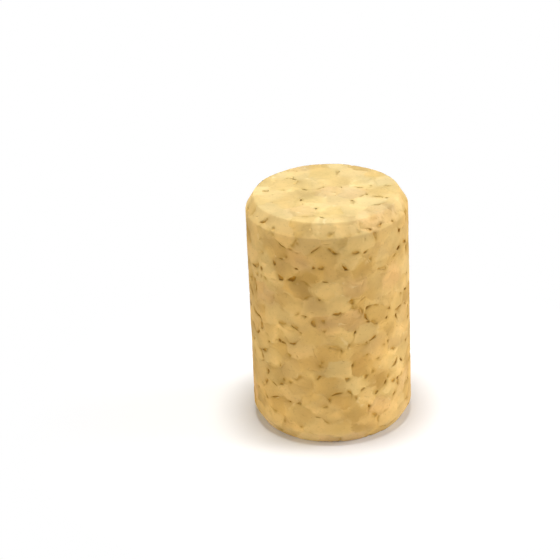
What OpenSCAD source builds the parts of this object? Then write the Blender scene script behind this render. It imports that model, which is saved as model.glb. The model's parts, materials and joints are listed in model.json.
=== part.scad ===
// Agglomerated cork stopper. It is one block of pressed cork granules, ground to a straight
// barrel with a chamfer at each end. Where granules met badly, a narrow gap or a small pit
// lies open on the surface. Millimetres, +Z up, origin at the middle of the lower end.

/* [Body] */
// Diameter of the barrel
body_d = 24; // [18:0.5:40]
// Height from end to end
body_h = 36; // [24:1:60]

/* [Chamfers] */
// How far a chamfer comes in from the barrel
chamfer_in = 1.2; // [0.8:0.1:2.5]
// How far a chamfer reaches along the barrel
chamfer_up = 2; // [1.2:0.1:4]
// Radius of the edge between barrel and chamfer
shoulder_round = 0.8; // [0.4:0.1:2]
// Radius of the edge between chamfer and end face
rim_round = 0.4; // [0.2:0.05:0.7]

/* [Granules] */
// Width of a granule, round the barrel and across an end
granule_w = 4; // [3:0.1:6]
// Height of a granule, along the barrel
granule_h = 2.6; // [2:0.1:4]
// Farthest that a granule's middle strays from an even pattern, each way
granule_stray = 0.6; // [0:0.05:0.7]

/* [Gaps] */
// Percentage of the barrel's level seams that gape
open_level_seams = 30; // [5:1:60]
// Percentage of the barrel's upright seams that gape
open_upright_seams = 22; // [0:1:60]
// Percentage of an end's seams that gape
open_end_seams = 22; // [0:1:60]
// Length of the longest gap
gap_l = 3.2; // [1:0.1:4]
// Width of the widest gap
gap_w = 0.6; // [0.2:0.05:0.8]
// Depth of the deepest gap
gap_depth = 0.6; // [0.3:0.1:1.5]

/* [Pits] */
// Percentage of the granules' corners that hold a pit
open_corners = 16; // [0:1:40]
// Width of the widest pit
pit_w = 0.8; // [0.3:0.05:1.2]
// Depth of the deepest pit
pit_depth = 0.8; // [0.3:0.1:2]
// Number that picks which gaps and pits there are
pattern = 22; // [1:1:99]

/* [Hidden] */
CORK = "#d8b77c";
// Facets of a turned face, and of the small arcs that round its edges
TURNED = 64;
ARC = 32;
body_r = body_d / 2;
end_r = body_r - chamfer_in;

// A chamfer's slope from upright, the way along it from rim to shoulder, and the way into the cork
slope = atan(chamfer_in / chamfer_up);
along = [sin(slope), cos(slope)];
inward = [-cos(slope), sin(slope)];
// Each round begins this far from its sharp corner
rim_cut = rim_round / tan(45 + slope / 2);
shoulder_cut = shoulder_round * tan(slope / 2);
// The chamfer lies this far under its rounds, so that it crosses them in a clean edge
chamfer_sink = 0.002;

// The stopper's faces. The granules' middles lie in rows on each, every other row shifted by half
BARREL = 0;
LOWER_END = 1;
UPPER_END = 2;
barrel_columns = round(PI * body_d / granule_w);
barrel_rows = round(body_h / granule_h);
// Granules are pressed flat along the axis, so on an end they are as long as they are wide
even_row_h = granule_w * sin(60);
end_columns = ceil(end_r / granule_w) + 1;
end_rows = ceil(end_r / even_row_h) + 1;
// No opening's middle lies nearer to the edge of its face than this share of a granule's height
SIDE_MARGIN = 0.3;
END_MARGIN = 0.6;

// What is drawn by lot for a granule, its seams and its corners
GRANULE = 0;
UPRIGHT_SEAM = 1;
RIGHT_SEAM = 2;
LEFT_SEAM = 3;
UPPER_CORNER = 4;
LOWER_CORNER = 5;
// The lots of one gap or pit. A granule draws two, for the ways that its middle strays
OPENS = 0;
LENGTH = 1;
WIDTH = 2;
DEPTH = 3;
TURN = 4;
STRAY_X = 0;
STRAY_Y = 1;
// The smallest opening has these shares of the largest one's length, width and depth
LEAST_LENGTH = 0.5;
LEAST_WIDTH = 0.4;
LEAST_DEPTH = 0.4;
// A gap's thin tail, belly and blunt head, as shares of its length and width
GAP_OUTLINE = [[-0.5, 0], [0.125, -0.3], [0.4, -0.25], [0.5, 0.2], [0.25, 0.7]];
// A pit has a corner in each of the three seams that meet there, in about these directions
PIT_CORNERS = [0, 105, 230];
// A cutter stands out of the surface by this share of its length or width
STAND_OUT = 0.5;
// A lot is what is left of a large sine, whose angle grows by odd steps, in degrees
LOT_STEPS = [12.9898, 78.233, 37.719, 53.181, 94.673, 61.387];
LOT_SIZE = 43758.5453;

// A share from 0 to 1, always the same for the same granule, part and purpose
function lot(face, i, j, part, purpose) =
  let (large = LOT_SIZE * sin(LOT_STEPS * [i, j, part, purpose, pattern, face]))
  large - floor(large);
function between(least, lot) = least + (1 - least) * lot;
function stray(lot) = granule_stray * (2 * lot - 1);

// Spacing of a face's granules along a row, and of its rows
function column_w(face) = face == BARREL ? PI * body_d / barrel_columns : granule_w;
function row_h(face) = face == BARREL ? body_h / barrel_rows : even_row_h;

// Middle of a granule: on the barrel as way round and height, on an end as X and Y
function middle(face, i, j) =
  let (column = face == BARREL ? (i + barrel_columns) % barrel_columns : i)
  [
    (i + (j % 2 == 0 ? 0 : 0.5)) * column_w(face) + stray(lot(face, column, j, GRANULE, STRAY_X)),
    j * row_h(face) + stray(lot(face, column, j, GRANULE, STRAY_Y))
  ];
// Column of the granule up and to the left of one in row j, or down and to the left
function left_column(i, j) = j % 2 == 0 ? i - 1 : i;

// The point as far from a as from b and c, in a space where granules are as high as wide
function meeting_point(face, a, b, c) =
  let (
    stretch = even_row_h / row_h(face),
    p = [b.x - a.x, (b.y - a.y) * stretch],
    q = [c.x - a.x, (c.y - a.y) * stretch],
    twice_area = 2 * (p.x * q.y - p.y * q.x)
  )
  a + [q.y * (p * p) - p.y * (q * q), (p.x * (q * q) - q.x * (p * p)) / stretch] / twice_area;

// The corners at a granule's right side, where it and its right neighbour meet the next row
function upper_corner(face, i, j) =
  meeting_point(face, middle(face, i, j), middle(face, i + 1, j), middle(face, left_column(i, j) + 1, j + 1));
function lower_corner(face, i, j) =
  meeting_point(face, middle(face, i, j), middle(face, i + 1, j), middle(face, left_column(i, j) + 1, j - 1));

function lies_on(face, p) =
  let (margin = SIDE_MARGIN * granule_h)
  face == BARREL ? p.y > margin && p.y < body_h - margin : norm(p) < end_r - END_MARGIN * granule_h;

// Radius of the side at height z, and how far it leans up or down there
function side_r(z) = body_r - chamfer_in * max(0, 1 - z / chamfer_up, 1 - (body_h - z) / chamfer_up);
function side_lean(z) = z < chamfer_up ? -slope : z > body_h - chamfer_up ? slope : 0;

// Outline of the lower end, from the end face to the barrel, and a list of points turned over
low_end = [
  [end_r - rim_cut, 0],
  [end_r, 0] + rim_cut * along + chamfer_sink * inward,
  [body_r, chamfer_up] - shoulder_cut * along + chamfer_sink * inward,
  [body_r, chamfer_up + shoulder_cut]
];
function turned_over(points) = [for (i = [len(points) - 1 : -1 : 0]) [points[i].x, body_h - points[i].y]];

module low_rounds() {
  translate([end_r - rim_cut, rim_round]) circle(rim_round, $fn = ARC);
  translate([body_r - shoulder_round, chamfer_up + shoulder_cut]) circle(shoulder_round, $fn = ARC);
}

module ground_block() {
  rotate_extrude($fn = TURNED) {
    polygon(concat([[0, 0]], low_end, turned_over(low_end), [[0, body_h]]));
    low_rounds();
    translate([0, body_h]) mirror([0, 1]) low_rounds();
  }
}

// Puts a cutter on a face, with X along the row and Z straight out of the cork
module on_face(face, p) {
  if (face == BARREL)
    rotate([0, 0, p.x / body_r * 180 / PI])
      translate([side_r(p.y), 0, p.y])
        rotate([0, -side_lean(p.y), 0])
          rotate([90, 0, 90])
            children();
  else
    translate([0, 0, face == UPPER_END ? body_h : 0])
      rotate([face == UPPER_END ? 0 : 180, 0, 0])
        translate(p)
          children();
}

// A sliver, cut straight down. The belly lies on one side or the other
module gap(l, w, depth, turn) {
  side = turn < 0.5 ? w : -w;
  translate([0, 0, -depth])
    linear_extrude(depth + l * STAND_OUT)
      polygon([for (corner = GAP_OUTLINE) [corner.x * l, corner.y * side]]);
}

// A three-cornered hole, cut straight down
module pit(w, depth, turn) {
  translate([0, 0, -depth])
    linear_extrude(depth + w * STAND_OUT)
      polygon([for (a = PIT_CORNERS) w / 2 * [cos(a + 360 * turn), sin(a + 360 * turn)]]);
}

module maybe_gap(face, i, j, part, from, to, open_seams) {
  lots = [for (purpose = [OPENS : TURN]) lot(face, i, j, part, purpose)];
  run = to - from;
  if (lots[OPENS] < open_seams / 100 && lies_on(face, (from + to) / 2))
    on_face(face, (from + to) / 2)
      rotate(atan2(run.y, run.x))
        gap(
          min(gap_l, norm(run)) * between(LEAST_LENGTH, lots[LENGTH]),
          gap_w * between(LEAST_WIDTH, lots[WIDTH]),
          gap_depth * between(LEAST_DEPTH, lots[DEPTH]),
          lots[TURN]
        );
}

module maybe_pit(face, i, j, part, p) {
  lots = [for (purpose = [OPENS : TURN]) lot(face, i, j, part, purpose)];
  if (lots[OPENS] < open_corners / 100 && lies_on(face, p))
    on_face(face, p)
      pit(
        pit_w * between(LEAST_WIDTH, lots[WIDTH]),
        pit_depth * between(LEAST_DEPTH, lots[DEPTH]),
        lots[TURN]
      );
}

// The openings of the seam right of each granule, of the two seams above it and of their corners
module openings(face, columns, rows, open_level, open_upright) {
  for (i = columns, j = rows) {
    upper = upper_corner(face, i, j);
    lower = lower_corner(face, i, j);
    top = lower_corner(face, left_column(i, j), j + 1);
    maybe_gap(face, i, j, UPRIGHT_SEAM, lower, upper, open_upright);
    maybe_gap(face, i, j, RIGHT_SEAM, top, upper, open_level);
    maybe_gap(face, i, j, LEFT_SEAM, upper_corner(face, i - 1, j), top, open_level);
    maybe_pit(face, i, j, UPPER_CORNER, upper);
    maybe_pit(face, i, j, LOWER_CORNER, lower);
  }
}

module stopper() {
  end_x = [-end_columns : end_columns];
  end_y = [-end_rows : end_rows];
  color(CORK)
    difference() {
      ground_block();
      union() {
        openings(BARREL, [0 : barrel_columns - 1], [0 : barrel_rows], open_level_seams, open_upright_seams);
        openings(LOWER_END, end_x, end_y, open_end_seams, open_end_seams);
        openings(UPPER_END, end_x, end_y, open_end_seams, open_end_seams);
      }
    }
}

stopper();
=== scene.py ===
import itertools
import json
import math

import bpy
import numpy as np
from mathutils import Matrix, Vector, kdtree

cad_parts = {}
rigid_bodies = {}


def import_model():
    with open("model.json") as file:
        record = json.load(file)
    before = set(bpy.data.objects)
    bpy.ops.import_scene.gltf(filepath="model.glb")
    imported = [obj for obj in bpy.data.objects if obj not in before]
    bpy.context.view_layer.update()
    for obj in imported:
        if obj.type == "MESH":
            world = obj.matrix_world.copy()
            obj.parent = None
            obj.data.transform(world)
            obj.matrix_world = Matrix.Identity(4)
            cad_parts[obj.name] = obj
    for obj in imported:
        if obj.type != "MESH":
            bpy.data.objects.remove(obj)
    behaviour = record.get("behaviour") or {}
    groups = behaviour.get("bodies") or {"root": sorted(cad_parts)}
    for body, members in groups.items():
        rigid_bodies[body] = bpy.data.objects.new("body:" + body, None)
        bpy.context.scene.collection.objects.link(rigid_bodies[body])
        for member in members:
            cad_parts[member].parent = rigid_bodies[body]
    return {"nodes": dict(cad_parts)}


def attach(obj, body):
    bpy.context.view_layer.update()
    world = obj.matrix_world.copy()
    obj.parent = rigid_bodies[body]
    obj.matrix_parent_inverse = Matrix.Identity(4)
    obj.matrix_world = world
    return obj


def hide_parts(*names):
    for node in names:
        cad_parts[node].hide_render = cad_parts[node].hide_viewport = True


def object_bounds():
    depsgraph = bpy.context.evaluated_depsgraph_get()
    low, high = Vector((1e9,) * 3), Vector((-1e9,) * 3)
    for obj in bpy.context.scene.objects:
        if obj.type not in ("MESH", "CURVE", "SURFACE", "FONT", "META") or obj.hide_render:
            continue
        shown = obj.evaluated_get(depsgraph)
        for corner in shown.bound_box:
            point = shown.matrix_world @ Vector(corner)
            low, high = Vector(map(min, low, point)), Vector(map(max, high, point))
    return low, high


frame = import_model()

cad_low, cad_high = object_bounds()

# ---------------------------------------------------------------- the ground block, in millimetres
MM = 0.001
BODY_R = (cad_high.x - cad_low.x) / 2 / MM
BODY_H = (cad_high.z - cad_low.z) / MM
CHAMFER_IN = 1.2
CHAMFER_UP = 2.0
END_R = BODY_R - CHAMFER_IN
CHAMFER_L = math.hypot(CHAMFER_IN, CHAMFER_UP)
# Barrel, chamfer and end go over into each other within about this much
EDGE_BLEND = 0.12

# ---------------------------------------------------------------- the honeycomb of granules
# It follows the same rule as the part's source, so that the seams between
# granules run through the gaps that the solid has
GRANULE_W = 4.0
GRANULE_H = 2.6
GRANULE_STRAY = 0.6
PATTERN = 22
BARREL, LOWER_END, UPPER_END = range(3)
GRANULE = 0
STRAY_X, STRAY_Y = range(2)
LOT_STEPS = (12.9898, 78.233, 37.719, 53.181, 94.673, 61.387)
LOT_SIZE = 43758.5453
COLUMNS = round(math.tau * BODY_R / GRANULE_W)
ROWS = round(BODY_H / GRANULE_H)
COLUMN_W = math.tau * BODY_R / COLUMNS
ROW_H = BODY_H / ROWS
EVEN_ROW_H = GRANULE_W * math.sin(math.radians(60))
# A granule's middle lies this far under the ground surface
MIDDLE_DEPTH = 1.0
# Granules are pressed flat, so a distance along the axis counts this much more
PRESS = EVEN_ROW_H / ROW_H
# Many granules, this share of them, are clusters of smaller chips
CHIPS = 1200
CLUSTERS = 0.6
CHIP_DEPTH = 0.5
# Seams are ragged by about this much
RAG = 0.12
# Each seam has lots of its own in a table, which two neighbours' numbers look up
SEAM_LOTS = 4096
SEAM_MIX = 37

# ---------------------------------------------------------------- relief, in millimetres
# Points this close are one. Then comes an even grid, and its triangles are thinned out to a count
MERGE = 0.001
FINE_GRID = 0.1
FACES_MOST = 190_000
# Granules and chips lie up to this much lower than each other
SINK_MOST = 0.03
# Crumbs on the ground surface. The bias makes more of it crumbly than smooth
CRUMB = 0.01
CRUMB_BIAS = 0.7
# The lips of the gaps are sunk a little, within this reach
LIP_SINK = 0.07
LIP_W = 0.2
# Their walls crumble sideways, not at all at the first depth and fully from the second
LIP_CRUMB = 0.12
CRUMBLY_DEPTH = (0.0, 0.3)
# Crumbs fill this share of a gap's depth, in some gaps more than in others
FILL = 0.72
FILL_VARIES = 0.6
FILL_RANGE = (0.25, 0.85)
# A closed seam is a fine groove where its line is strong
GROOVE_DEPTH = 0.13
# Granules and chips stand up a little in their middles
SEAM_SINK = 0.035
SEAM_W = 0.32
PORES = 70
PORE_R = 0.4
PORE_LEAST = 0.4
PORE_DEPTH = 0.2
# A pore's wall runs between these shares of its radius
PORE_WALL = (1.0, 0.3)
# Granules and gaps bend along the surface by this much, but the edges keep still:
# the bend grows between these distances from them
SLIDE = 0.5
STILL_EDGE = (0.2, 1.4)
# All of it stays this far inside the ground block
CLEAR = 0.004
# A point this deep lies in a gap
GAP_FROM = 0.15

# ---------------------------------------------------------------- lengths over which things vary
RAG_L = 0.6
BREAK_L = 1.3
WIDTH_L = 0.8
CRUMB_L = 0.4
LIP_L = 0.5
SWAY_L = 2.2
FILL_L = 3.5
TONE_L = 6.0
HUE_L = 4.0

# ---------------------------------------------------------------- lines along the seams
# A lot from 0 to 1 says how a seam shows: high ones are dark lines, the lowest ones pale,
# and a range is where the look goes over from nothing to all of it
GRANULE_LINES = (0.7, 1.0)
CHIP_LINES = (0.55, 1.0)
CHIP_LINE_SHARE = 0.5
DIPS = (0.1, 0.8)
# Pale lines stand for raised pale flakes: partly their own paler cork, partly painted highlight on
# their lit edges
PALE_LINES = (0.16, 0.0)
# Lines break off here and there along a seam, and are weaker on the ends
LINE_RUNS = (-0.1, 0.4)
PALE_RUNS = (0.1, 0.5)
END_WEAKER = 0.5
LINE_W = 0.15
CHIP_LINE_W = 0.11
WIDER = 0.2
WIDER_RUNS = (-0.3, 0.6)
PALE_W = 0.13

# ---------------------------------------------------------------- colour
# Granules from different bark differ a little; a chip differs less from its cluster
GRANULE_TINTS = (
    "#cba561", "#cea865", "#d2ae6a", "#cfaa66",
    "#c29a53", "#c7a05a", "#cda566", "#caa45e",
)
CHIP_TINTS = ("#ffffff", "#f9f6ef", "#fcfaf6", "#f3efe2")
# An end is drawn paler, calmer and with fainter marks as painted highlight, for the light from
# above that falls on it, and a chamfer is part of the way there
END_HIGHLIGHT_TINT = "#cdb37a"
END_HIGHLIGHT_CALM = 0.85
CHAMFER_PALER = 0.45
END_FAINTER = 0.4
# A granule's colour fades by about this share for each millimetre across it, up to a few
FADE = 0.04
FADE_REACH = 3
# A granule's colour runs into its neighbour's over at least this far, at some seams further
BLEED = 0.1
BLEED_MORE = 1.3
BLEED_POWER = 1.5
# Wide soft changes of tone and of hue, for red, green and blue
TONE_CLOUDS = (0.07, 0.08, 0.11)
HUE_CLOUDS = (0.025, -0.01, -0.045)
# Painted shade: the cork is drawn browner this far round a gap
GAP_SHADE_REACH = 0.32
# Pale flakes: partly paler cork, partly painted highlight
PALE_FLAKE_HIGHLIGHT = "#e2c88d"
SEAM_MARK = "#9c742a"
GAP_SHADE_MARK = "#a27b2a"
# Deep in the gaps: painted shade, with some of the dust that lies there
GAP_SHADE_AND_DUST = "#ba8623"

# ---------------------------------------------------------------- the stage
TABLE_WHITE = "#f4f3f1"
# The table shows its shadow out to the first radius, and is plain white from the second on
TABLE_EDGE = (18.0, 50.0)
WORLD_LIGHT = 0.1
# A long lens, which looks down and is held a little askew
LENS = 143.8
SENSOR_W = 36.0
LOOK_DOWN = 26.03
ROLL = -2.42
EYE_IN_RADII = (-0.61, -25.01, 14.05)

rng = np.random.default_rng(24)


def lot(face, i, j, part, purpose):
    """A share from 0 to 1, the same one that the part's source draws."""
    counts = (i, j, part, purpose, PATTERN, face)
    large = LOT_SIZE * math.sin(math.radians(sum(c * s for c, s in zip(counts, LOT_STEPS))))
    return large - math.floor(large)


def stray(face, i, j, way):
    """How far a granule's middle strays from the even pattern."""
    return GRANULE_STRAY * (2 * lot(face, i, j, GRANULE, way) - 1)


def smooth(low, high, x):
    """0 at low and 1 at high, with a soft step between; low may be the larger."""
    t = np.clip((x - low) / (high - low), 0, 1)
    return t * t * (3 - 2 * t)


def linear(text):
    """An sRGB hex colour as linear red, green and blue."""
    parts = [int(text[k : k + 2], 16) / 255 for k in (1, 3, 5)]
    return [c / 12.92 if c <= 0.04045 else ((c + 0.055) / 1.055) ** 2.4 for c in parts]


class Field:
    """Smooth random variation through the cork, about -1 to 1 at each point."""

    COUNT = 256
    # Moves each finer octave away from the coarser one
    APART = 31.7
    # Brings one octave to about -1 to 1
    GAIN = 1.7

    def __init__(self, length, octaves=1):
        self.length = length
        self.octaves = octaves
        self.order = rng.permutation(self.COUNT)
        slopes = rng.normal(size=(self.COUNT, 3))
        self.slopes = slopes / np.linalg.norm(slopes, axis=1, keepdims=True)

    def __call__(self, co):
        octaves = range(self.octaves)
        scaled = [co / self.length * 2 ** octave + self.APART * octave for octave in octaves]
        return sum(self.one(p) / 2 ** octave for octave, p in enumerate(scaled))

    def one(self, p):
        """One octave: each corner of a grid pulls along a slope of its own."""
        base = np.floor(p).astype(int)
        f = p - base
        ease = f ** 3 * (f * (f * 6 - 15) + 10)
        total = 0
        for corner in itertools.product((0, 1), repeat=3):
            x, y, z = ((base + corner) % self.COUNT).T
            row = self.order[(self.order[x] + y) % self.COUNT]
            slope = self.slopes[self.order[(row + z) % self.COUNT]]
            pull = ((f - corner) * slope).sum(1)
            total = total + pull * np.where(corner, ease, 1 - ease).prod(1)
        return total * self.GAIN


def depth_in(co):
    """How far each point lies under the barrel, the ends and the chamfers, gaps left aside."""
    r = np.hypot(co[:, 0], co[:, 1])
    z = np.minimum(co[:, 2], BODY_H - co[:, 2])
    chamfer = ((END_R - r) * CHAMFER_UP + z * CHAMFER_IN) / CHAMFER_L
    return np.stack([BODY_R - r, z, chamfer], 1)


def face_shares(co):
    """How much each point belongs to the barrel, an end and a chamfer, blended over the edges."""
    near = depth_in(co)
    share = np.exp(-(near - near.min(1, keepdims=True)) / EDGE_BLEND)
    return share / share.sum(1, keepdims=True)


def outward(co):
    """The way out of the block at each point."""
    share = face_shares(co)
    radial = share[:, 0] + share[:, 2] * CHAMFER_UP / CHAMFER_L
    axial = share[:, 1] + share[:, 2] * CHAMFER_IN / CHAMFER_L
    flat = co[:, :2] / np.hypot(co[:, 0], co[:, 1]).clip(1e-6)[:, None] * radial[:, None]
    way = np.column_stack([flat, np.sign(co[:, 2] - BODY_H / 2) * axial])
    return way / np.linalg.norm(way, axis=1, keepdims=True)


def side_r(z):
    """The block's radius at a height."""
    return BODY_R - CHAMFER_IN * max(0, 1 - z / CHAMFER_UP, 1 - (BODY_H - z) / CHAMFER_UP)


def granule_middles():
    """The granules' middles, a little under the ground surface."""
    middles = []
    for j, i in itertools.product(range(ROWS + 1), range(COLUMNS)):
        way = ((i + j % 2 / 2) * COLUMN_W + stray(BARREL, i, j, STRAY_X)) / BODY_R
        z = j * ROW_H + stray(BARREL, i, j, STRAY_Y)
        z = min(max(z, MIDDLE_DEPTH), BODY_H - MIDDLE_DEPTH)
        r = side_r(z) - MIDDLE_DEPTH
        middles.append((r * math.cos(way), r * math.sin(way), z))
    reach = range(-math.ceil(END_R / GRANULE_W) - 1, math.ceil(END_R / GRANULE_W) + 2)
    for face, turn, z in ((LOWER_END, -1, MIDDLE_DEPTH), (UPPER_END, 1, BODY_H - MIDDLE_DEPTH)):
        for j, i in itertools.product(reach, reach):
            x = (i + j % 2 / 2) * GRANULE_W + stray(face, i, j, STRAY_X)
            y = j * EVEN_ROW_H + stray(face, i, j, STRAY_Y)
            if math.hypot(x, y) < END_R - MIDDLE_DEPTH:
                middles.append((x, turn * y, z))
    return np.array(middles)


def tree_of(points):
    tree = kdtree.KDTree(len(points))
    for n, p in enumerate(points):
        tree.insert(p, n)
    tree.balance()
    return tree


class Cells:
    """Parts the cork into cells round their middles, each with its own colour."""

    def __init__(self, middles, tints):
        self.middles = middles * (1, 1, PRESS)
        self.tree = tree_of(self.middles)
        self.lots = rng.random((len(middles), 2))
        picks = rng.integers(0, len(tints), len(middles))
        self.colours = np.array([linear(t) for t in tints])[picks]
        self.ways = rng.normal(size=(len(middles), 3))
        self.seam_lots = rng.random((2, SEAM_LOTS))

    def look_up(self, co):
        """Each point's cell, its distance from the seam, that seam's lot, and its colour."""
        co = co * (1, 1, PRESS)
        found = [self.tree.find_n(p, 2) for p in co]
        own = np.array([pair[0][1] for pair in found])
        beside = np.array([pair[1][1] for pair in found])
        near = np.array([(pair[0][2], pair[1][2]) for pair in found])
        across = np.linalg.norm(self.middles[own] - self.middles[beside], axis=1)
        far = (near[:, 1] ** 2 - near[:, 0] ** 2) / (2 * across)
        seam = (own * beside * SEAM_MIX + own + beside) % SEAM_LOTS
        line_lot, bleed_lot = self.seam_lots[:, seam]
        reach = BLEED + BLEED_MORE * bleed_lot ** BLEED_POWER
        # On the seam itself both colours count half
        over = (0.5 * smooth(1, 0, far / reach))[:, None]
        colour = self.shade(own, co) * (1 - over) + self.shade(beside, co) * over
        return own, far, line_lot, colour

    def shade(self, cells, co):
        """The colour in these cells, which fades a little from one side to the other."""
        fade = ((co - self.middles[cells]) * self.ways[cells]).sum(1)
        return self.colours[cells] * (1 + FADE * fade.clip(-FADE_REACH, FADE_REACH))[:, None]


class Cork:
    """All that varies through the pressed cork, from one set of draws."""

    def __init__(self, surface):
        self.granules = Cells(granule_middles(), GRANULE_TINTS)
        chips = surface[rng.integers(0, len(surface), CHIPS)]
        self.chips = Cells(chips - outward(chips) * CHIP_DEPTH, CHIP_TINTS)
        self.pores = tree_of(surface[rng.integers(0, len(surface), PORES)])
        self.pore_r = PORE_R * rng.uniform(PORE_LEAST, 1, PORES)
        self.rag = [Field(RAG_L, 2) for _ in range(3)]
        self.breaks = Field(BREAK_L, 2)
        self.widths = Field(WIDTH_L)
        self.crumb = Field(CRUMB_L, 3)
        self.lips = [Field(LIP_L, 2) for _ in range(3)]
        self.sway = [Field(SWAY_L, 2) for _ in range(3)]
        self.fills = Field(FILL_L)
        self.tones = Field(TONE_L, 2)
        self.hues = Field(HUE_L, 2)

    def at(self, co):
        """What each point has: height, colour, lines, dips, pores and how far it is an end's."""
        ragged = co + RAG * np.column_stack([f(co) for f in self.rag])
        own, far, lots, colour = self.granules.look_up(ragged)
        chip, chip_far, chip_lots, chip_colour = self.chips.look_up(ragged)
        cluster = self.granules.lots[own, 0] < CLUSTERS
        colour = colour * np.where(cluster[:, None], chip_colour, 1)
        tones = np.outer(self.tones(co), TONE_CLOUDS)
        colour = colour * (1 + tones + np.outer(self.hues(co), HUE_CLOUDS))
        _, end, chamfer = face_shares(co).T
        at_end = end + CHAMFER_PALER * chamfer

        # The nearest seam is a chip's inside a cluster and the granule's elsewhere
        within = cluster & (chip_far < far)
        far = np.where(within, chip_far, far)
        lots = np.where(within, chip_lots, lots)
        chip_line = CHIP_LINE_SHARE * smooth(*CHIP_LINES, lots)
        strength = np.where(within, chip_line, smooth(*GRANULE_LINES, lots))
        breaks = self.breaks(co)
        strength = strength * smooth(*LINE_RUNS, breaks) * (1 - END_WEAKER * at_end)
        width = np.where(within, CHIP_LINE_W, LINE_W) + WIDER * smooth(*WIDER_RUNS, self.widths(co))
        pale = smooth(*PALE_LINES, lots) * smooth(*PALE_RUNS, -breaks)

        found = [self.pores.find(p) for p in co]
        pore_r = self.pore_r[[f[1] for f in found]]
        from_pore = np.array([f[2] for f in found]) / pore_r
        return {
            "height": self.granules.lots[own, 1] + cluster * self.chips.lots[chip, 1],
            "colour": colour,
            "line": strength * np.exp(-(far / width) ** 2),
            "dip": smooth(*DIPS, lots) * np.exp(-(far / SEAM_W) ** 2),
            "pale": pale * np.exp(-(far / PALE_W) ** 2),
            "pore": smooth(*PORE_WALL, from_pore) * pore_r / PORE_R,
            "at_end": at_end,
        }

    def sink(self, co):
        """How far each point sinks under the ground surface."""
        cork = self.at(co)
        crumb = CRUMB * (self.crumb(co) + CRUMB_BIAS).clip(0)
        relief = cork["height"] * SINK_MOST + cork["dip"] * SEAM_SINK + cork["line"] * GROOVE_DEPTH
        return relief + cork["pore"] * PORE_DEPTH + crumb

    def crumble(self, co):
        """Sinks the surface, rounds and roughens the lips of the gaps and leaves crumbs in them."""
        depth = depth_in(co).min(1)
        crumbly = LIP_CRUMB * smooth(*CRUMBLY_DEPTH, depth)
        rough = np.column_stack([f(co) for f in self.lips]) * crumbly[:, None]
        lip = LIP_SINK * near_gaps(co, depth, LIP_W)
        fill = depth * (FILL + FILL_VARIES * self.fills(co)).clip(*FILL_RANGE)
        return hold_in(co - outward(co) * (self.sink(co) + lip - fill)[:, None] + rough)

    def slide(self, co):
        """Bends granules and gaps along the surface, at the depth they have."""
        z = np.minimum(co[:, 2], BODY_H - co[:, 2])
        r = np.hypot(co[:, 0], co[:, 1])
        edge = np.minimum(np.hypot(r - BODY_R, z - CHAMFER_UP), np.hypot(r - END_R, z))
        way = outward(co)
        move = np.column_stack([f(co) for f in self.sway])
        move -= way * (move * way).sum(1, keepdims=True)
        before = depth_in(co).min(1)
        co = co + move * (SLIDE * smooth(*STILL_EDGE, edge))[:, None]
        return hold_in(co + outward(co) * (depth_in(co).min(1) - before)[:, None])


def near_gaps(co, depth, reach):
    """1 in the gaps, falling off within this reach of them."""
    gaps = tree_of(co[depth > GAP_FROM])
    return np.exp(-(np.array([gaps.find(p)[2] for p in co]) / reach) ** 2)


def hold_in(co):
    """Brings back what stands out of the ground block."""
    out = (CLEAR - depth_in(co).min(1)).clip(0)
    co = co - outward(co) * out[:, None]
    co[:, 2] = co[:, 2].clip(CLEAR, BODY_H - CLEAR)
    return co


def points_of(mesh):
    co = np.empty(len(mesh.vertices) * 3)
    mesh.vertices.foreach_get("co", co)
    return co.reshape(-1, 3)


def move_points(mesh, co):
    mesh.vertices.foreach_set("co", co.ravel())
    mesh.update()


def apply_modifier(piece, name, kind, **settings):
    modifier = piece.modifiers.new(name, kind)
    for key, value in settings.items():
        setattr(modifier, key, value)
    bpy.ops.object.modifier_apply(modifier=modifier.name)


def fine_copy(node):
    """The solid's own form as an even fine mesh, in millimetres, in the piece's own object."""
    mesh = frame["nodes"][node].data.copy()
    mesh.transform(Matrix.Scale(1 / MM, 4))
    mesh.materials.clear()
    piece = bpy.data.objects.new("ground_cork", mesh)
    bpy.context.scene.collection.objects.link(piece)
    bpy.ops.object.select_all(action="DESELECT")
    piece.select_set(True)
    bpy.context.view_layer.objects.active = piece
    bpy.ops.object.mode_set(mode="EDIT")
    bpy.ops.mesh.select_all(action="SELECT")
    bpy.ops.mesh.remove_doubles(threshold=MERGE)
    bpy.ops.object.mode_set(mode="OBJECT")
    apply_modifier(piece, "grid", "REMESH", mode="VOXEL", voxel_size=FINE_GRID)
    return piece


def drop_specks(piece):
    """Deletes the loose specks that the grid leaves beside the block."""
    top = int(points_of(piece.data)[:, 2].argmax())
    bpy.ops.object.mode_set(mode="EDIT")
    bpy.ops.mesh.select_mode(type="VERT")
    bpy.ops.mesh.select_all(action="DESELECT")
    bpy.ops.object.mode_set(mode="OBJECT")
    piece.data.vertices[top].select = True
    bpy.ops.object.mode_set(mode="EDIT")
    bpy.ops.mesh.select_linked()
    bpy.ops.mesh.select_all(action="INVERT")
    bpy.ops.mesh.delete(type="VERT")
    bpy.ops.object.mode_set(mode="OBJECT")


def add_attribute(mesh, name, values):
    """Keeps a number, or a colour of three, for each point of the mesh."""
    kind, field = "FLOAT", "value"
    if values.ndim == 2:
        kind, field = "FLOAT_COLOR", "color"
        values = np.column_stack([values, np.ones(len(values))])
    attribute = mesh.attributes.new(name, kind, "POINT")
    attribute.data.foreach_set(field, values.astype(np.float32).ravel())


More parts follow.
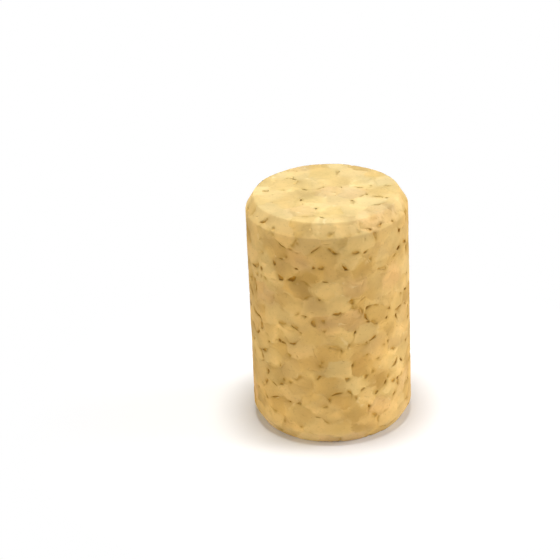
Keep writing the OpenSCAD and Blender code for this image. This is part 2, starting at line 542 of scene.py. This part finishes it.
def stain(mesh, cork):
    """Notes each point's colour, lines and depth, for the material."""
    co = points_of(mesh)
    here = cork.at(co)
    depth = depth_in(co).min(1)
    mean = np.array([linear(t) for t in GRANULE_TINTS]).mean(0)
    at_end = here["at_end"][:, None]
    # Painted highlight: towards the ends the colour is calmer and paler, and the seam, gap shade
    # and depth marks are fainter
    colour = mean + (here["colour"] - mean) * (1 - (1 - END_HIGHLIGHT_CALM) * at_end)
    painted_end_highlight = 1 + (np.array(linear(END_HIGHLIGHT_TINT)) / mean - 1) * at_end
    fainter = 1 - END_FAINTER * here["at_end"]
    add_attribute(mesh, "tint", colour)
    add_attribute(mesh, "painted_end_highlight", painted_end_highlight)
    add_attribute(mesh, "seam", here["line"] * fainter)
    add_attribute(mesh, "pale", here["pale"])
    # Painted shade round the gaps
    add_attribute(mesh, "gap_shade", near_gaps(co, depth, GAP_SHADE_REACH) * fainter)
    add_attribute(mesh, "depth", depth * fainter)


def stopper():
    """The stopper with all its fine relief, which stands for the plain solid."""
    piece = fine_copy("stopper")
    cork = Cork(points_of(piece.data))
    move_points(piece.data, cork.crumble(points_of(piece.data)))
    drop_specks(piece)
    apply_modifier(piece, "settle", "SMOOTH", factor=0.5, iterations=2)
    triangles = sum(len(face.vertices) - 2 for face in piece.data.polygons)
    apply_modifier(piece, "thin_out", "DECIMATE", ratio=FACES_MOST / triangles)
    stain(piece.data, cork)
    move_points(piece.data, cork.slide(points_of(piece.data)))
    piece.data.transform(Matrix.Scale(MM, 4))
    bpy.ops.object.shade_smooth()
    return piece


def add_node(tree, kind, settings=None, **links):
    """Adds a node with its settings and links; _2=socket feeds its input number 2."""
    node = tree.nodes.new(kind)
    for key, value in (settings or {}).items():
        if isinstance(key, int) or key in node.inputs:
            node.inputs[key].default_value = value
        else:
            setattr(node, key, value)
    for key, socket in links.items():
        tree.links.new(socket, node.inputs[int(key[1:])])
    return node.outputs


def seen_directly(tree):
    """1 for what the camera, a mirror or glass shows, 0 for light on its way to a matte surface."""
    rays = add_node(tree, "ShaderNodeLightPath")
    kinds = ("Camera", "Glossy", "Transmission")
    camera, mirror, glass = (rays[f"Is {kind} Ray"] for kind in kinds)
    larger = {"operation": "MAXIMUM"}
    either = add_node(tree, "ShaderNodeMath", larger, _0=camera, _1=mirror)[0]
    return add_node(tree, "ShaderNodeMath", larger, _0=either, _1=glass)[0]


def agglomerated_cork():
    """Pressed and ground cork: matte and warm, its granules a little apart in colour."""
    material = bpy.data.materials.new("agglomerated_cork_ground")
    material.use_nodes = True
    tree = material.node_tree
    shader = tree.nodes["Principled BSDF"]
    place = add_node(tree, "ShaderNodeTexCoord")["Object"]
    tint, painted_end_highlight = (
        add_node(tree, "ShaderNodeAttribute", {"attribute_name": name})["Color"]
        for name in ("tint", "painted_end_highlight")
    )
    seam, pale, gap_shade, depth = (
        add_node(tree, "ShaderNodeAttribute", {"attribute_name": name})["Fac"]
        for name in ("seam", "pale", "gap_shade", "depth")
    )

    # Clouds of 1.6 mm inside the granules, which lighten and darken them. Then specks, where
    # the grinder tore open cells: those are 0.04 mm, too fine to show, and are drawn at 0.35 mm
    for size, detail, run in (
        (1.6, 2.0, {"From Min": 0.25, "From Max": 0.75, "To Min": 0.94, "To Max": 1.06}),
        (0.35, 1.0, {"From Min": 0.6, "From Max": 0.75, "To Min": 1.0, "To Max": 0.88}),
    ):
        noise = {"Scale": 1 / (size * MM), "Detail": detail}
        cloud = add_node(tree, "ShaderNodeTexNoise", noise, _0=place)["Fac"]
        light = add_node(tree, "ShaderNodeMapRange", run, _0=cloud)[0]
        tint = add_node(tree, "ShaderNodeVectorMath", {"operation": "SCALE"}, _0=tint, _3=light)[0]

    # Each mark is laid over the tint by its own share
    for mark, colour, most in (
        # pale flakes, partly painted highlight
        (pale, PALE_FLAKE_HIGHLIGHT, 0.5),
        (seam, SEAM_MARK, 0.5),
        # painted shade round the gaps
        (gap_shade, GAP_SHADE_MARK, 0.42),
    ):
        share = add_node(tree, "ShaderNodeMath", {"operation": "MULTIPLY", 1: most}, _0=mark)[0]
        over = {"data_type": "RGBA", 7: (*linear(colour), 1)}
        tint = add_node(tree, "ShaderNodeMix", over, _0=share, _6=tint)[2]
    # A gap goes over to a darker, more saturated brown from 0.12 mm down: painted shade in the
    # recess, with some of the dust that lies in it
    deep = {"From Min": 0.12, "From Max": 0.4, "To Max": 0.85}
    share = add_node(tree, "ShaderNodeMapRange", deep, _0=depth)[0]
    over = {"data_type": "RGBA", 7: (*linear(GAP_SHADE_AND_DUST), 1)}
    tint = add_node(tree, "ShaderNodeMix", over, _0=share, _6=tint)[2]
    # The painted highlight makes the ends paler
    tint = add_node(tree, "ShaderNodeVectorMath", {"operation": "MULTIPLY"}, _0=tint, _1=painted_end_highlight)[0]
    tree.links.new(tint, shader.inputs["Base Color"])

    # The ground cells' grain, drawn at 0.25 mm so that it shows
    noise = {"Scale": 1 / (0.25 * MM), "Detail": 3.0}
    grain = add_node(tree, "ShaderNodeTexNoise", noise, _0=place)["Fac"]
    bump = add_node(tree, "ShaderNodeBump", {"Strength": 0.12, "Distance": 0.03 * MM}, _2=grain)[0]
    tree.links.new(bump, shader.inputs["Normal"])
    shader.inputs["Roughness"].default_value = 0.9
    shader.inputs["IOR"].default_value = 1.45
    shader.inputs["Specular IOR Level"].default_value = 0.25
    return material


def white_card():
    """Matte white card with the stopper's shadow, which goes over into plain white further out."""
    material = bpy.data.materials.new("white_card")
    material.use_nodes = True
    tree = material.node_tree
    shader = tree.nodes["Principled BSDF"]
    shader.inputs["Base Color"].default_value = (*linear(TABLE_WHITE), 1)
    shader.inputs["Roughness"].default_value = 0.7
    place = add_node(tree, "ShaderNodeTexCoord")["Object"]
    far = add_node(tree, "ShaderNodeVectorMath", {"operation": "LENGTH"}, _0=place)["Value"]
    near, out = TABLE_EDGE
    run = {"interpolation_type": "SMOOTHSTEP", "From Min": near * MM, "From Max": out * MM}
    far = add_node(tree, "ShaderNodeMapRange", run, _0=far)[0]
    seen = seen_directly(tree)
    share = add_node(tree, "ShaderNodeMath", {"operation": "MULTIPLY"}, _0=far, _1=seen)[0]
    plain = add_node(tree, "ShaderNodeEmission", {"Color": (1, 1, 1, 1), "Strength": 1.0})[0]
    both = add_node(tree, "ShaderNodeMixShader", _0=share, _1=shader.outputs[0], _2=plain)[0]
    tree.links.new(both, tree.nodes["Material Output"].inputs["Surface"])
    return material


def stage():
    """A plain white table under the stopper, in a white room that gives little light."""
    bpy.ops.mesh.primitive_plane_add(size=4.0, location=(0, 0, cad_low.z))
    table = bpy.context.object
    table.name = "white_table"
    table.data.materials.append(white_card())
    world = bpy.data.worlds.new("white_studio")
    bpy.context.scene.world = world
    world.use_nodes = True
    tree = world.node_tree
    run = {"To Min": WORLD_LIGHT, "To Max": 1.0}
    strength = add_node(tree, "ShaderNodeMapRange", run, _0=seen_directly(tree))[0]
    background = tree.nodes["Background"]
    background.inputs["Color"].default_value = (1, 1, 1, 1)
    tree.links.new(strength, background.inputs["Strength"])


def softbox(name, azimuth, elevation, distance, size, power, colour=(1, 1, 1)):
    """A round softbox turned to the stopper's middle; azimuth 0 is in front, 90 on the right.

    Its distance and size are in metres, and its power is in watts.
    """
    light = bpy.data.lights.new(name, "AREA")
    light.shape = "DISK"
    light.size = size
    light.energy = power
    light.color = colour
    lamp = bpy.data.objects.new(name, light)
    a, e = math.radians(azimuth), math.radians(elevation)
    way = Vector((math.cos(e) * math.sin(a), -math.cos(e) * math.cos(a), math.sin(e)))
    lamp.location = Vector((0, 0, BODY_H / 2 * MM)) + way * distance
    lamp.rotation_euler = way.to_track_quat("Z", "Y").to_euler()
    bpy.context.scene.collection.objects.link(lamp)


def camera():
    lens = bpy.data.cameras.new("camera")
    lens.sensor_width = SENSOR_W
    lens.lens = LENS
    lens.clip_end = 10.0
    eye = bpy.data.objects.new("camera", lens)
    bpy.context.scene.collection.objects.link(eye)
    down, roll = math.radians(LOOK_DOWN), math.radians(ROLL)
    ahead = Vector((0, math.cos(down), -math.sin(down)))
    up = Vector((0, math.sin(down), math.cos(down)))
    turn = Matrix((Vector((1, 0, 0)), up, -ahead)).transposed().to_4x4()
    place = Vector(EYE_IN_RADII) * BODY_R * MM
    eye.matrix_world = Matrix.Translation(place) @ turn @ Matrix.Rotation(roll, 4, "Z")
    bpy.context.scene.camera = eye


piece = stopper()
piece.data.materials.append(agglomerated_cork())
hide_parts("stopper")
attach(piece, "root")
stage()
softbox("overhead_softbox", 0, 89.9, distance=0.2, size=0.06, power=0.41)
softbox("right_softbox", 91, 16, distance=0.5, size=0.3, power=1.88, colour=(1.0, 1.04, 1.18))
softbox("left_softbox", 266, 10, distance=0.5, size=0.3, power=1.14)
softbox("front_fill", 0, 10, distance=0.5, size=0.3, power=0.49)
softbox("low_front_card", 0, -5.7, distance=0.06, size=0.02, power=0.0036)
camera()
bpy.context.scene.view_settings.view_transform = "Standard"
